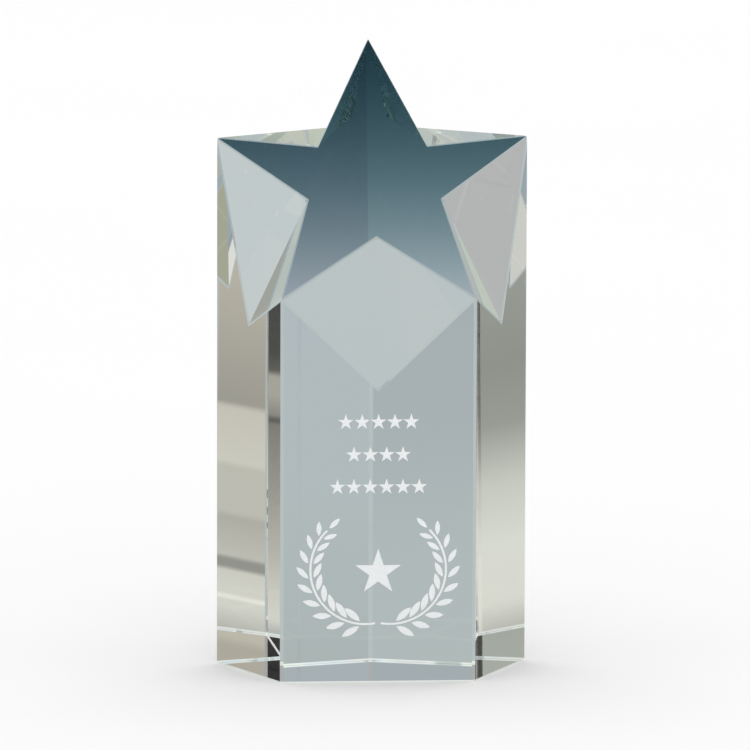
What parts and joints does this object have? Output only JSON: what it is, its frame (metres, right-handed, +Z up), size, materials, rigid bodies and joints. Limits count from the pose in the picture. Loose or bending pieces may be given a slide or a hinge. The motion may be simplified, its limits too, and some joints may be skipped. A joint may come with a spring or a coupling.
{
  "type": "crystal star trophy",
  "caption": "Free-standing pentagonal clear crystal award column; its sloping top is notched into a star, and its front face has white-filled etched star rows and a laurel emblem.",
  "frame": {"origin": "centroid of the pentagonal base outline, on the flat face that it stands on", "axes": "+Z up, -Y out of the etched front face, +X to the viewer's right when facing the front"},
  "size_m": [0.1008, 0.0577, 0.2025],
  "materials": {
    "crystal": "clear optical crystal, ground flat and polished, with fine polished bevels",
    "white_fill": "matt white enamel in sandblasted pockets"
  },
  "bodies": {
    "root": {"crystal_block": "crystal", "upper_star_row_fill": "white_fill", "middle_star_row_fill": "white_fill", "lower_star_row_fill": "white_fill", "left_laurel_stem_fill": "white_fill", "left_laurel_leaves_fill": "white_fill", "right_laurel_stem_fill": "white_fill", "right_laurel_leaves_fill": "white_fill", "emblem_star_fill": "white_fill"}
  },
  "joints": []
}
